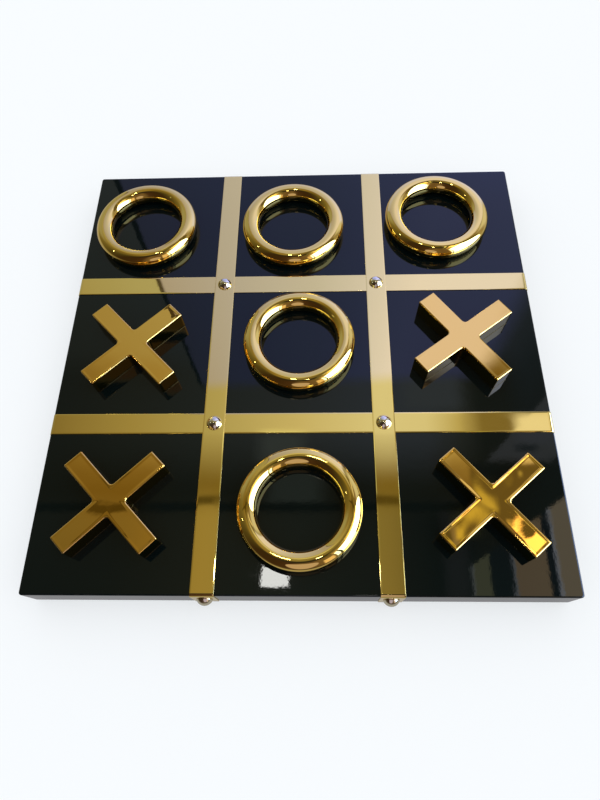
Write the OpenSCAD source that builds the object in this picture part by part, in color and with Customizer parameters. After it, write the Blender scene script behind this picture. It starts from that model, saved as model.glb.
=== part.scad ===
// Tic-tac-toe board of lacquered wood, with nailed metal strips and nine loose metal pieces.
// Millimetres. +Z is up, the front edge faces -Y, and the feet stand on the plane z = 0.
// The origin is under the middle of the board.

/* [Board] */
// Side of the square slab
board_side = 356; // [340:1:460]
// Thickness of the slab
board_thick = 25; // [20:0.5:40]
// Rounding of the slab's top and bottom edges
board_edge_r = 2; // [0.8:0.1:3]
// Rounding of the slab's four upright corners
board_corner_r = 2; // [0.5:0.1:6]

/* [Strips] */
// Width of a strip
strip_w = 15.5; // [12:0.5:22]
// Thickness of the strip's sheet metal
strip_t = 0.6; // [0.4:0.1:1.6]
// Clear width of the middle cell, from strip to strip
middle_cell = 105; // [98:1:125]
// How much tighter a strip is bent than the slab's edge is rounded, so that it never binds there
fold_relief = 0.2; // [0.1:0.05:0.4]
// Height of a folded strip end above the slab's underside
leg_stop = 1.5; // [0.5:0.1:4]
// How far an upper strip runs on level past the outer edge of a lower one
lift_play = 1; // [0.5:0.1:3]

/* [Nails] */
// Diameter of a nail's dome head
head_d = 11; // [9:0.5:14]
// Height of the dome head
head_h = 4; // [2.5:0.25:4.5]
// Wall of the pressed, hollow head
head_wall = 0.8; // [0.5:0.1:1.2]
// Diameter of the shank
shank_d = 1.8; // [1.2:0.1:3]
// Length of the shank under the head, with its point
shank_l = 16; // [10:0.5:17]
// Length of the shank's point
shank_tip = 3; // [1:0.5:5]
// Gap all round a shank in its holes
shank_gap = 0.1; // [0.05:0.05:0.3]
// Depth left free under a shank's point
bore_spare = 1; // [0.5:0.5:2]
// Depth of a side nail's axis below the slab's top
side_nail_drop = 12.5; // [9:0.5:14]

/* [Feet] */
// Diameter of a rubber foot where it is stuck to the slab
foot_d = 12; // [8:0.5:20]
// Diameter of the flat that a foot stands on
foot_pad_d = 9; // [5:0.5:16]
// Height of a foot
foot_h = 3; // [2:0.5:6]
// Distance of a foot's middle from the slab's sides
foot_inset = 24; // [16:1:50]

/* [Rings] */
// Outer diameter of a ring
ring_od = 83.5; // [70:0.5:90]
// Diameter of the round bar that a ring is made of
ring_bar_d = 13.8; // [8:0.1:16]
// Gap between the round underside of a ring and the lacquer
ring_gap = 0.05; // [0.02:0.01:0.2]

/* [Crosses] */
// Length of each bar of a cross, from tip to tip
cross_span = 83; // [60:0.5:90]
// Width of a bar
cross_bar_w = 14.5; // [10:0.5:20]
// Height of a cross
cross_h = 14.5; // [8:0.5:20]
// Rounding of a bar's edges
cross_edge_r = 1.2; // [0.5:0.1:2.5]
// Rounding of the four inner corners
cross_inner_r = 2.5; // [1:0.1:5]

/* [Places of the pieces] */
// Shift of the back left ring from the middle of its cell, to the right and back
shift_back_left = [-5.4, -5.8]; // [-11:0.1:11]
// Shift of the back middle ring
shift_back_middle = [-5.9, -7.4]; // [-11:0.1:11]
// Shift of the back right ring
shift_back_right = [-10.9, -1.3]; // [-11:0.1:11]
// Shift of the cross in the left cell of the middle row
shift_middle_left = [-0.5, -0.7]; // [-11:0.1:11]
// Shift of the ring in the centre cell
shift_centre = [-0.1, 4.1]; // [-7:0.1:7]
// Shift of the cross in the right cell of the middle row
shift_middle_right = [-2.4, 3]; // [-11:0.1:11]
// Shift of the front left cross
shift_front_left = [-0.1, 2.5]; // [-11:0.1:11]
// Shift of the front middle ring
shift_front_middle = [1.3, -0.2]; // [-11:0.1:11]
// Shift of the front right cross
shift_front_right = [2.6, 2.8]; // [-11:0.1:11]
// Turn of the cross in the left cell of the middle row, in degrees
turn_middle_left = 44.2; // [0:0.1:90]
// Turn of the cross in the right cell of the middle row, in degrees
turn_middle_right = 36.8; // [0:0.1:90]
// Turn of the front left cross, in degrees
turn_front_left = 44.7; // [0:0.1:90]
// Turn of the front right cross, in degrees
turn_front_right = 40.3; // [0:0.1:90]

/* [Hidden] */
$fn = 64;

// Colours as the photograph shows them
lacquer = [0.02, 0.02, 0.03];
champagne_brass = [0.72, 0.60, 0.30];
chrome = [0.80, 0.80, 0.82];
gold = [0.86, 0.65, 0.24];
rubber = [0.08, 0.08, 0.08];

// Heights
board_bottom = foot_h;
board_top = foot_h + board_thick;
leg_bottom = board_bottom + leg_stop;
side_nail_z = board_top - side_nail_drop;

// Places in the plan
board_half = board_side / 2;
strip_offset = (middle_cell + strip_w) / 2;
outer_cell = (strip_offset + strip_w / 2 + board_half) / 2;
foot_place = board_half - foot_inset;

// Bends of the strips, and the end of an upper strip's level run
bend_r = board_edge_r - fold_relief;
bend_steps = 8;
lift_end = strip_offset + strip_w / 2 + lift_play;

// Sphere that a nail's dome is cut from
head_r = head_d / 2;
dome_r = (head_r * head_r + head_h * head_h) / (2 * head_h);

// How far a cutting body reaches past the face that it cuts
cut_over = 1;

// A rectangle with round corners, centred
module rounded_rectangle(x, y, r) {
    square([x - 2 * r, y], center = true);
    square([x, y - 2 * r], center = true);
    for (i = [-1, 1], j = [-1, 1])
        translate([i * (x / 2 - r), j * (y / 2 - r)]) circle(r);
}

// A block with round edges, centred in the plan and standing on z = 0.
// It is what three round-cornered prisms, one along each axis, have in common.
module rounded_block(x, y, z, upright_r, edge_r) {
    intersection() {
        linear_extrude(z) rounded_rectangle(x, y, upright_r);
        translate([0, y / 2, z / 2]) rotate([90, 0, 0])
            linear_extrude(y) rounded_rectangle(x, z, edge_r);
        translate([-x / 2, 0, z / 2]) rotate([90, 0, 90])
            linear_extrude(x) rounded_rectangle(y, z, edge_r);
    }
}

// One hole for a shank, along -Z from a little above the origin
module shank_hole(depth) {
    translate([0, 0, -depth])
        cylinder(d = shank_d + 2 * shank_gap, h = depth + cut_over);
}

// Puts its child at both nails of one side of the board, with +Z pointing out of the slab's face.
// The side is front at 0 degrees, right at 90, back at 180 and left at 270.
module at_side_nails(side_turn, out) {
    for (i = [-1, 1])
        rotate([0, 0, side_turn]) translate([i * strip_offset, -board_half - out, side_nail_z])
            rotate([90, 0, 0]) children();
}

// Puts its child at the four crossings, at a height above the slab's top
module at_crossings(up) {
    for (i = [-1, 1], j = [-1, 1])
        translate([i * strip_offset, j * strip_offset, board_top + up]) children();
}

module board() {
    color(lacquer) difference() {
        translate([0, 0, board_bottom])
            rounded_block(board_side, board_side, board_thick, board_corner_r, board_edge_r);
        at_crossings(0) shank_hole(shank_l + bore_spare);
        for (side_turn = [0 : 90 : 270])
            at_side_nails(side_turn, 0) shank_hole(shank_l + bore_spare);
    }
}

// One bend over the slab's edge: a quarter circle from pointing outwards to pointing up
function bend(side, r) =
    [for (i = [0 : bend_steps]) [side * (board_half - bend_r + r * cos(90 * i / bend_steps)),
                                 board_top - bend_r + r * sin(90 * i / bend_steps)]];

// The level run of an upper strip over both lower ones. The strip is pulled taut, so it rises
// to this run evenly from the bend at each end.
function level_run(up, lift) = [for (i = [-1, 1]) [i * lift_end, board_top + up + lift]];

function reversed(list) = [for (i = [len(list) - 1 : -1 : 0]) list[i]];

// A strip seen from its side, from one folded end over the slab to the other.
// At up = 0 this is the face on the slab, and at up = strip_t the outer face.
function strip_line(up, lift) =
    concat([[-board_half - up, leg_bottom]],
           bend(-1, bend_r + up),
           lift > 0 ? level_run(up, lift) : [],
           reversed(bend(1, bend_r + up)),
           [[board_half + up, leg_bottom]]);

// A strip along X, at y = 0, with a hole over each crossing and in each folded end
module strip(lift) {
    difference() {
        rotate([90, 0, 0]) translate([0, 0, -strip_w / 2]) linear_extrude(strip_w)
            polygon(concat(strip_line(0, lift), reversed(strip_line(strip_t, lift))));
        for (i = [-1, 1]) {
            translate([i * strip_offset, 0, board_top + lift + strip_t])
                shank_hole(strip_t + cut_over);
            translate([i * (board_half + strip_t), 0, side_nail_z]) rotate([0, i * 90, 0])
                shank_hole(strip_t + cut_over);
        }
    }
}

// The strips that run from side to side lie flat on the slab
module strip_across(side) {
    color(champagne_brass) translate([0, side * strip_offset, 0]) strip(0);
}

// The strips that run from front to back pass over the others
module strip_along(side) {
    color(champagne_brass) translate([side * strip_offset, 0, 0]) rotate([0, 0, 90]) strip(strip_t);
}

// A dome nail with the rim of its head on z = 0 and its shank pointing down
module nail() {
    color(chrome) {
        difference() {
            intersection() {
                translate([0, 0, head_h - dome_r]) sphere(dome_r);
                cylinder(d = head_d + 2 * cut_over, h = head_h + cut_over);
            }
            translate([0, 0, head_h - dome_r]) sphere(dome_r - head_wall);
        }
        translate([0, 0, shank_tip - shank_l])
            cylinder(d = shank_d, h = shank_l - shank_tip + head_h - head_wall / 2);
        translate([0, 0, -shank_l]) cylinder(d1 = 0, d2 = shank_d, h = shank_tip);
    }
}

module crossing_nails() {
    at_crossings(2 * strip_t) nail();
}

module side_nails(side_turn) {
    at_side_nails(side_turn, strip_t) nail();
}

// A rubber foot, narrower at the flat that it stands on
module foot(i, j) {
    color(rubber) translate([i * foot_place, j * foot_place, 0])
        rotate_extrude() polygon([[0, 0], [foot_pad_d / 2, 0], [foot_d / 2, foot_h], [0, foot_h]]);
}

// Puts its child on the slab in one cell: i is the column and j the row, each -1, 0 or 1
module in_cell(i, j, shift, turn = 0) {
    translate([i * outer_cell + shift[0], j * outer_cell + shift[1], board_top])
        rotate([0, 0, turn]) children();
}

// A ring of round bar
module ring() {
    color(gold) translate([0, 0, ring_bar_d / 2 + ring_gap])
        rotate_extrude() translate([(ring_od - ring_bar_d) / 2, 0]) circle(d = ring_bar_d);
}

// A cross of two bars, with round edges and filled inner corners
module cross() {
    corner = cross_bar_w / 2;
    web = cross_h - 2 * cross_edge_r;
    color(gold) {
        rounded_block(cross_span, cross_bar_w, cross_h, cross_edge_r, cross_edge_r);
        rounded_block(cross_bar_w, cross_span, cross_h, cross_edge_r, cross_edge_r);
        for (a = [0 : 90 : 270])
            rotate([0, 0, a]) translate([0, 0, cross_edge_r]) difference() {
                cube([corner + cross_inner_r, corner + cross_inner_r, web]);
                translate([corner + cross_inner_r, corner + cross_inner_r, -cut_over])
                    cylinder(r = cross_inner_r, h = web + 2 * cut_over);
            }
    }
}

module strip_left() { strip_along(-1); }
module strip_right() { strip_along(1); }
module strip_back() { strip_across(1); }
module strip_front() { strip_across(-1); }
module front_nails() { side_nails(0); }
module right_nails() { side_nails(90); }
module back_nails() { side_nails(180); }
module left_nails() { side_nails(270); }
module foot_front_left() { foot(-1, -1); }
module foot_front_right() { foot(1, -1); }
module foot_back_left() { foot(-1, 1); }
module foot_back_right() { foot(1, 1); }
module ring_back_left() { in_cell(-1, 1, shift_back_left) ring(); }
module ring_back_middle() { in_cell(0, 1, shift_back_middle) ring(); }
module ring_back_right() { in_cell(1, 1, shift_back_right) ring(); }
module ring_centre() { in_cell(0, 0, shift_centre) ring(); }
module ring_front_middle() { in_cell(0, -1, shift_front_middle) ring(); }
module cross_middle_left() { in_cell(-1, 0, shift_middle_left, turn_middle_left) cross(); }
module cross_middle_right() { in_cell(1, 0, shift_middle_right, turn_middle_right) cross(); }
module cross_front_left() { in_cell(-1, -1, shift_front_left, turn_front_left) cross(); }
module cross_front_right() { in_cell(1, -1, shift_front_right, turn_front_right) cross(); }

board();
strip_left();
strip_right();
strip_back();
strip_front();
crossing_nails();
front_nails();
back_nails();
left_nails();
right_nails();
foot_front_left();
foot_front_right();
foot_back_left();
foot_back_right();
ring_back_left();
ring_back_middle();
ring_back_right();
ring_centre();
ring_front_middle();
cross_middle_left();
cross_middle_right();
cross_front_left();
cross_front_right();
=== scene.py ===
# %% [markdown]
# # A lacquered tic-tac-toe board with brass strips and gold pieces
# The real object is a square slab of wood under deep black lacquer. Four strips of thin sheet
# brass cross on it and are folded over its edges, twelve chrome dome nails hold them down, and
# nine loose pieces of polished gold-coloured metal stand in the cells: five rings, four crosses.
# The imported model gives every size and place, so the first step is to load it as a fixed frame.

# %% Load the frame
import math

import bmesh
import bpy
import numpy as np
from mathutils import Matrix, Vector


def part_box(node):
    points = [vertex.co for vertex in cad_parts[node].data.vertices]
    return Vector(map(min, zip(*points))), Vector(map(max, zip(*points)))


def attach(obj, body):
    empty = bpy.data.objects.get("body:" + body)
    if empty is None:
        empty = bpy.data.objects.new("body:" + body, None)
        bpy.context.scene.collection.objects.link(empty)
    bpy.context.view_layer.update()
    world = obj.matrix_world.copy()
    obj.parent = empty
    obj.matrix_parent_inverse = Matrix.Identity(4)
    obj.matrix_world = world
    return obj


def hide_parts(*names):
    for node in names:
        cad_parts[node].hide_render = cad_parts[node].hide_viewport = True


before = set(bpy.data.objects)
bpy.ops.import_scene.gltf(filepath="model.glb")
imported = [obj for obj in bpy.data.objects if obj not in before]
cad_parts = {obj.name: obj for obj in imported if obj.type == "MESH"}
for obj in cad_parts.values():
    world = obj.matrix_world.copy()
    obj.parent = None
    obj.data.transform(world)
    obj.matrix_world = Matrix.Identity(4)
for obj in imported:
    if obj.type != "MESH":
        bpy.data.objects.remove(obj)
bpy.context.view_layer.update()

# %% [markdown]
# # Sizes
# Whatever the frame can say is read from it: the slab's faces, the strips' width and thickness,
# the nails' domes. Only what a box can't tell, such as a rounding, is written here. The slab's
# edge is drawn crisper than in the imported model, because a buffed edge catches only a hair of
# light. A millimetre is the unit of the workshop and a metre is Blender's, so one name turns the
# one into the other.

# %% Read the driving sizes
MM = 0.001

slab_low, slab_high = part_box("board")
slab_half = slab_high.x
slab_top = slab_high.z
slab_bottom = slab_low.z
slab_edge_r = 1 * MM
slab_corner_r = 2 * MM

across_low, across_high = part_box("strip_back")
strip_w = across_high.y - across_low.y
strip_t = across_high.z - slab_top
strip_offset = (across_high.y + across_low.y) / 2
strip_end = across_low.z
bend_r = 1.8 * MM
lift_end = strip_offset + strip_w / 2 + 1 * MM

slab_thick = slab_top - slab_bottom
print("slab", round(2 * slab_half / MM, 2), "mm square,", round(slab_thick / MM, 2), "mm thick")
print("strip", round(strip_w / MM, 2), "x", round(strip_t / MM, 2), "mm")

# %% [markdown]
# # The camera
# The board is looked at from close by and steeply from above, so its front edge looks much wider
# than its back edge. The place, the turn and the lens below were found by fitting a pinhole
# camera to the slab and its strips, which is the surest way to get such a strong perspective
# right.

# %% Place the camera
CAMERA_PLACE = (0.01556, -0.22291, 0.41253)
CAMERA_TURN = (25.196, 1.960, 0.507)
CAMERA_LENS = 26.40

camera = bpy.data.cameras.new("camera")
camera.lens = CAMERA_LENS
camera.sensor_width = 36
camera_object = bpy.data.objects.new("camera", camera)
camera_object.location = CAMERA_PLACE
camera_object.rotation_euler = [math.radians(a) for a in CAMERA_TURN]
bpy.context.scene.collection.objects.link(camera_object)
bpy.context.scene.camera = camera_object
bpy.context.scene.view_settings.view_transform = "Standard"
print("camera", round((CAMERA_PLACE[2] - slab_top) / MM), "mm above the slab's top")

# %% [markdown]
# # Wiring a shader in few words
# A procedural finish is a small network of nodes. Written out in full, each node takes three or
# four lines, and the idea gets lost among them. These helpers make one node each, take numbers
# or other nodes' outputs alike, and hand back the output that is mostly wanted.

# %% Helpers for shader nodes
def feed(tree, socket, value):
    """Puts a number or colour on a socket, or a link from another node's output."""
    if isinstance(value, bpy.types.NodeSocket):
        tree.links.new(value, socket)
    elif value is not None:
        socket.default_value = value


def calculate(tree, operation, *values):
    """One step of arithmetic, such as ADD or MULTIPLY, on up to three values."""
    node = tree.nodes.new("ShaderNodeMath")
    node.operation = operation
    for socket, value in zip(node.inputs, values):
        feed(tree, socket, value)
    return node.outputs[0]


def ease(tree, value, low, high, start=0.0, end=1.0):
    """Rises smoothly from start to end while the value goes from low to high, and stays level outside."""
    node = tree.nodes.new("ShaderNodeMapRange")
    node.interpolation_type = "SMOOTHSTEP"
    for socket, number in zip(node.inputs, (value, low, high, start, end)):
        feed(tree, socket, number)
    return node.outputs[0]


def blend_colours(tree, mask, first, second):
    """The first colour where the mask is 0 and the second where it is 1."""
    node = tree.nodes.new("ShaderNodeMix")
    node.data_type = "RGBA"
    colour_inputs = [s for s in node.inputs if s.type == "RGBA"]
    feed(tree, node.inputs[0], mask)
    for socket, colour in zip(colour_inputs, (first, second)):
        feed(tree, socket, opaque(colour))
    return next(s for s in node.outputs if s.type == "RGBA")


def opaque(colour):
    """A colour of three numbers, or one level of grey, with its fourth number, opaque, added."""
    if isinstance(colour, float):
        return (colour, colour, colour, 1.0)
    return (*colour, 1.0) if isinstance(colour, tuple) and len(colour) == 3 else colour


def noise(tree, place, scale, detail=2.0, roughness=0.5):
    """Soft random hills from 0 to 1, with about `scale` of them to the metre."""
    node = tree.nodes.new("ShaderNodeTexNoise")
    feed(tree, node.inputs["Vector"], place)
    feed(tree, node.inputs["Scale"], scale)
    feed(tree, node.inputs["Detail"], detail)
    feed(tree, node.inputs["Roughness"], roughness)
    return node.outputs[0]


def stretch(tree, place, factors):
    """Multiplies a place by a factor along each axis."""
    node = tree.nodes.new("ShaderNodeVectorMath")
    node.operation = "MULTIPLY"
    feed(tree, node.inputs[0], place)
    node.inputs[1].default_value = factors
    return node.outputs[0]


def colour_line(tree, value, stops):
    """A colour that follows a value along a line of stops, each a place on the line and a colour."""
    node = tree.nodes.new("ShaderNodeValToRGB")
    low, high = stops[0][0], stops[-1][0]
    span = high - low
    elements = node.color_ramp.elements
    elements[0].color = opaque(stops[0][1])
    elements[1].color = opaque(stops[-1][1])
    for place, colour in stops[1:-1]:
        elements.new((place - low) / span).color = opaque(colour)
    feed(tree, node.inputs[0], calculate(tree, "DIVIDE", calculate(tree, "SUBTRACT", value, low), span))
    return node.outputs[0]


def new_group(name, inputs, outputs):
    """A node group whose sockets are given as a name and a kind: Float, Vector or Color."""
    group = bpy.data.node_groups.new(name, "ShaderNodeTree")
    for label, kind in inputs:
        group.interface.new_socket(label, in_out="INPUT", socket_type="NodeSocket" + kind)
    for label, kind in outputs:
        group.interface.new_socket(label, in_out="OUTPUT", socket_type="NodeSocket" + kind)
    return group, group.nodes.new("NodeGroupInput").outputs, group.nodes.new("NodeGroupOutput").inputs


def use_group(tree, group, **values):
    """Places a group in a material and feeds its inputs by name, with _ for a blank."""
    node = tree.nodes.new("ShaderNodeGroup")
    node.node_tree = group
    for label, value in values.items():
        feed(tree, node.inputs[label.replace("_", " ")], value)
    return node.outputs[0]

# %% [markdown]
# # Traces of making and use
# Polished things are never quite perfect, and the eye knows it. Five small effects are shared by
# all the finishes here, so each is a node group with its own knobs:
# - ripple: the slight orange peel of sprayed lacquer and of hand-polished metal,
# - handling: where fingers touched, the gloss is a little duller,
# - edge wear: the rubbed patches along edges, which a piece marks with its `edge` attribute,
# - dust: rare, tiny specks,
# - hairlines: very fine long scratches from wiping.

# %% Ripple, handling, edge wear, dust and hairlines
def make_ripple():
    """Height of a gently uneven surface: broad waves plus finer ones, weighed by Fineness."""
    group, given, result = new_group(
        "ripple",
        [("Place", "Vector"), ("Broad Scale", "Float"), ("Fine Scale", "Float"), ("Fineness", "Float")],
        [("Height", "Float")])
    broad = noise(group, given["Place"], given["Broad Scale"], 1.0)
    fine = noise(group, given["Place"], given["Fine Scale"], 1.0)
    feed(group, result[0], calculate(group, "MULTIPLY_ADD", fine, given["Fineness"], broad))
    return group


def make_handling():
    """Roughness that rises from Base by up to Amount in soft patches the size of fingertips."""
    group, given, result = new_group(
        "handling", [("Place", "Vector"), ("Scale", "Float"), ("Base", "Float"), ("Amount", "Float")],
        [("Roughness", "Float")])
    patches = ease(group, noise(group, given["Place"], given["Scale"], 3.0), 0.52, 0.72)
    feed(group, result[0], calculate(group, "MULTIPLY_ADD", patches, given["Amount"], given["Base"]))
    return group


def make_edge_wear():
    """Where an edge is rubbed: the edge mark, broken up by noise so that it comes and goes."""
    group, given, result = new_group(
        "edge wear", [("Place", "Vector"), ("Edge", "Float"), ("Scale", "Float"), ("Amount", "Float")],
        [("Mask", "Float")])
    broken = ease(group, noise(group, given["Place"], given["Scale"], 4.0, 0.65), 0.42, 0.68)
    worn = calculate(group, "MULTIPLY", calculate(group, "POWER", given["Edge"], 2.0), broken)
    feed(group, result[0], calculate(group, "MULTIPLY", worn, given["Amount"]))
    return group


def make_dust():
    """Round specks of a given Size in metres, in a few of the cells of a random cell pattern."""
    group, given, result = new_group(
        "dust", [("Place", "Vector"), ("Cells", "Float"), ("Size", "Float"), ("Share", "Float")],
        [("Mask", "Float")])
    cells = group.nodes.new("ShaderNodeTexVoronoi")
    feed(group, cells.inputs["Vector"], given["Place"])
    feed(group, cells.inputs["Scale"], given["Cells"])
    distance = calculate(group, "DIVIDE", cells.outputs["Distance"], given["Cells"])
    near = calculate(group, "LESS_THAN", distance, given["Size"])
    chosen = calculate(group, "LESS_THAN", cells.outputs["Color"], given["Share"])
    feed(group, result[0], calculate(group, "MULTIPLY", near, chosen))
    return group


def make_hairlines():
    """Thin long lines along the first axis: noise squeezed across it, of which only the crests are kept."""
    group, given, result = new_group(
        "hairlines", [("Place", "Vector"), ("Amount", "Float")], [("Mask", "Float")])
    long_lines = noise(group, stretch(group, given["Place"], (14.0, 1500.0, 14.0)), 1.0, 2.0)
    crests = ease(group, long_lines, 0.62, 0.76)
    feed(group, result[0], calculate(group, "MULTIPLY", crests, given["Amount"]))
    return group


ripple = make_ripple()
handling = make_handling()
edge_wear = make_edge_wear()
dust = make_dust()
hairlines = make_hairlines()
print("shared effects:", ", ".join(g.name for g in bpy.data.node_groups))

# %% [markdown]
# # Starting a material
# Every finish begins in the same way: a Principled shader, the place on the piece in metres, and
# the mark that tells where its edges are. The place is the Object coordinate, so a pattern keeps
# its real size and stays on its piece when that is lifted. A second helper turns a height into a
# bump of a real depth, which changes how the surface shines and not where it is.

# %% Starting a material
def start_material(name):
    """A new material with its Principled shader, the piece's own place and its edge mark."""
    material = bpy.data.materials.new(name)
    material.use_nodes = True
    tree = material.node_tree
    shader = tree.nodes["Principled BSDF"]
    place = tree.nodes.new("ShaderNodeTexCoord").outputs["Object"]
    edge = tree.nodes.new("ShaderNodeAttribute")
    edge.attribute_name = "edge"
    return material, tree, shader, place, edge.outputs["Fac"]


def bump(tree, shader, height, depth):
    """Lets a height from 0 to 1 stand out by a depth in metres."""
    node = tree.nodes.new("ShaderNodeBump")
    node.inputs["Distance"].default_value = depth
    feed(tree, node.inputs["Height"], height)
    feed(tree, shader.inputs["Normal"], node.outputs[0])

# %% [markdown]
# # Black lacquer
# The slab is sprayed many times, sanded and buffed, until it mirrors like dark glass. Its colour
# is nearly black, so almost all that is seen is what it reflects. Two things keep it from looking
# like ideal glass: an orange peel a few millimetres wide and some thousandths of a millimetre
# deep, which frays the edges of reflections, and a little dust. A cured lacquer bends light a bit
# less than glass does, which is the index below.

# %% Black lacquer
def make_lacquer():
    """Nearly black under a clear gloss, with rubbed edges, specks of dust and orange peel."""
    material, tree, shader, place, edge = start_material("black lacquer")
    worn = use_group(tree, edge_wear, Place=place, Edge=edge, Scale=260.0, Amount=0.35)
    specks = use_group(tree, dust, Place=place, Cells=95.0, Size=0.00022, Share=0.06)
    deep = blend_colours(tree, noise(tree, place, 9.0), (0.0011, 0.0038, 0.0042), (0.0015, 0.0044, 0.0049))
    rubbed = blend_colours(tree, worn, deep, (0.035, 0.030, 0.026))
    feed(tree, shader.inputs["Base Color"], blend_colours(tree, specks, rubbed, (0.30, 0.31, 0.32)))
    dulled = use_group(tree, handling, Place=place, Scale=34.0, Base=0.022, Amount=0.035)
    dulled = calculate(tree, "MULTIPLY_ADD", worn, 0.25, dulled)
    feed(tree, shader.inputs["Roughness"], calculate(tree, "MULTIPLY_ADD", specks, 0.5, dulled))
    shader.inputs["IOR"].default_value = 1.38
    height = use_group(tree, ripple, Place=place, Broad_Scale=150.0, Fine_Scale=800.0, Fineness=0.35)
    bump(tree, shader, calculate(tree, "MULTIPLY_ADD", specks, 6.0, height), 9e-6)
    return material


lacquer = make_lacquer()
print("finish:", lacquer.name)

# %% [markdown]
# # Underside paint
# Nobody buffs the underside. It has one coat of satin black, so it is duller, a little grey, and
# shows the nap of the roller.

# %% Underside paint
def make_underside_paint():
    """Two close dark greys, satin, with the roller's nap as a bump."""
    material, tree, shader, place, edge = start_material("underside paint")
    tone = noise(tree, place, 22.0, 4.0)
    coat = blend_colours(tree, tone, (0.011, 0.011, 0.012), (0.020, 0.020, 0.021))
    feed(tree, shader.inputs["Base Color"], coat)
    feed(tree, shader.inputs["Roughness"],
         use_group(tree, handling, Place=place, Scale=40.0, Base=0.42, Amount=0.12))
    height = use_group(tree, ripple, Place=place, Broad_Scale=260.0, Fine_Scale=1300.0, Fineness=0.6)
    bump(tree, shader, height, 60e-6)
    return material


underside_paint = make_underside_paint()
print("finish:", underside_paint.name)

# %% [markdown]
# # Strip brass
# The strips are bought as polished sheet, slit to width. The metal is a pale gold. Along its
# length it keeps very fine hairlines from the rolls, which belong to the strip and not to the
# room, so the pattern follows the strip's own UV map: first its length, then its width.

# %% Strip brass
def make_strip_brass():
    """Two close tones of brass, with hairlines along the strip and paler, rubbed edges."""
    material, tree, shader, place, edge = start_material("strip brass")
    along = tree.nodes.new("ShaderNodeUVMap").outputs[0]
    lines = use_group(tree, hairlines, Place=along, Amount=1.0)
    worn = use_group(tree, edge_wear, Place=place, Edge=edge, Scale=210.0, Amount=0.25)
    tone = noise(tree, place, 16.0, 3.0)
    sheet = blend_colours(tree, tone, (0.92, 0.69, 0.215), (0.94, 0.71, 0.235))
    feed(tree, shader.inputs["Base Color"], blend_colours(tree, worn, sheet, (0.97, 0.86, 0.60)))
    shader.inputs["Metallic"].default_value = 1.0
    dulled = use_group(tree, handling, Place=place, Scale=42.0, Base=0.032, Amount=0.035)
    dulled = calculate(tree, "MULTIPLY_ADD", worn, 0.12, dulled)
    feed(tree, shader.inputs["Roughness"], calculate(tree, "MULTIPLY_ADD", lines, 0.05, dulled))
    broad = use_group(tree, ripple, Place=place, Broad_Scale=45.0, Fine_Scale=240.0, Fineness=0.12)
    bump(tree, shader, calculate(tree, "MULTIPLY_ADD", lines, -0.03, broad), 9e-6)
    return material


strip_brass = make_strip_brass()
print("finish:", strip_brass.name)

# %% [markdown]
# # Gold of the pieces
# Rings and crosses are ground, polished on a wheel and plated. The crosses are cast and come out
# a deep, warm gold, while the rings are bent from drawn bar and look a shade paler. The polish
# is very high, but the wheel leaves a soft unevenness, and the plating is a touch paler where
# fingers and the board rub the edges. One function makes both golds from two tones each.

# %% Gold of the pieces
def make_gold(name, darker, paler):
    """Two close tones of one plating, a rubbed tone on the edges and a wheel-polished surface."""
    material, tree, shader, place, edge = start_material(name)
    worn = use_group(tree, edge_wear, Place=place, Edge=edge, Scale=330.0, Amount=0.35)
    plated = blend_colours(tree, noise(tree, place, 38.0, 3.0), darker, paler)
    feed(tree, shader.inputs["Base Color"], blend_colours(tree, worn, plated, (0.94, 0.76, 0.42)))
    shader.inputs["Metallic"].default_value = 1.0
    dulled = use_group(tree, handling, Place=place, Scale=75.0, Base=0.014, Amount=0.035)
    feed(tree, shader.inputs["Roughness"], calculate(tree, "MULTIPLY_ADD", worn, 0.03, dulled))
    height = use_group(tree, ripple, Place=place, Broad_Scale=130.0, Fine_Scale=520.0, Fineness=0.20)
    bump(tree, shader, height, 6e-6)
    return material


cross_gold = make_gold("cross gold", (0.87, 0.53, 0.115), (0.89, 0.55, 0.130))
ring_gold = make_gold("ring gold", (0.88, 0.61, 0.145), (0.90, 0.63, 0.165))
print("finish:", cross_gold.name, "and", ring_gold.name)

# %% [markdown]
# # Nail chrome
# The dome heads are pressed from steel and plated: a bright mirror with the warm, slightly
# yellow tone of thin bright plating, and a few dull touches where the hammer's soft face met it.

# %% Nail chrome
def make_nail_chrome():
    """Two close tones of plating, greyer and duller where its rim is rubbed."""
    material, tree, shader, place, edge = start_material("nail chrome")
    worn = use_group(tree, edge_wear, Place=place, Edge=edge, Scale=700.0, Amount=0.6)
    tone = noise(tree, place, 160.0, 3.0)
    plated = blend_colours(tree, tone, (0.72, 0.66, 0.47), (0.78, 0.71, 0.51))
    feed(tree, shader.inputs["Base Color"], blend_colours(tree, worn, plated, (0.42, 0.40, 0.39)))
    shader.inputs["Metallic"].default_value = 1.0
    dulled = use_group(tree, handling, Place=place, Scale=300.0, Base=0.07, Amount=0.12)
    feed(tree, shader.inputs["Roughness"], calculate(tree, "MULTIPLY_ADD", worn, 0.2, dulled))
    height = use_group(tree, ripple, Place=place, Broad_Scale=330.0, Fine_Scale=1500.0, Fineness=0.3)
    bump(tree, shader, height, 12e-6)
    return material


nail_chrome = make_nail_chrome()
print("finish:", nail_chrome.name)

# %% [markdown]
# # Foot rubber
# Four small moulded feet carry the board. Rubber is matt and dark grey, with a fine pebbled
# skin, and it collects dust.

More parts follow.
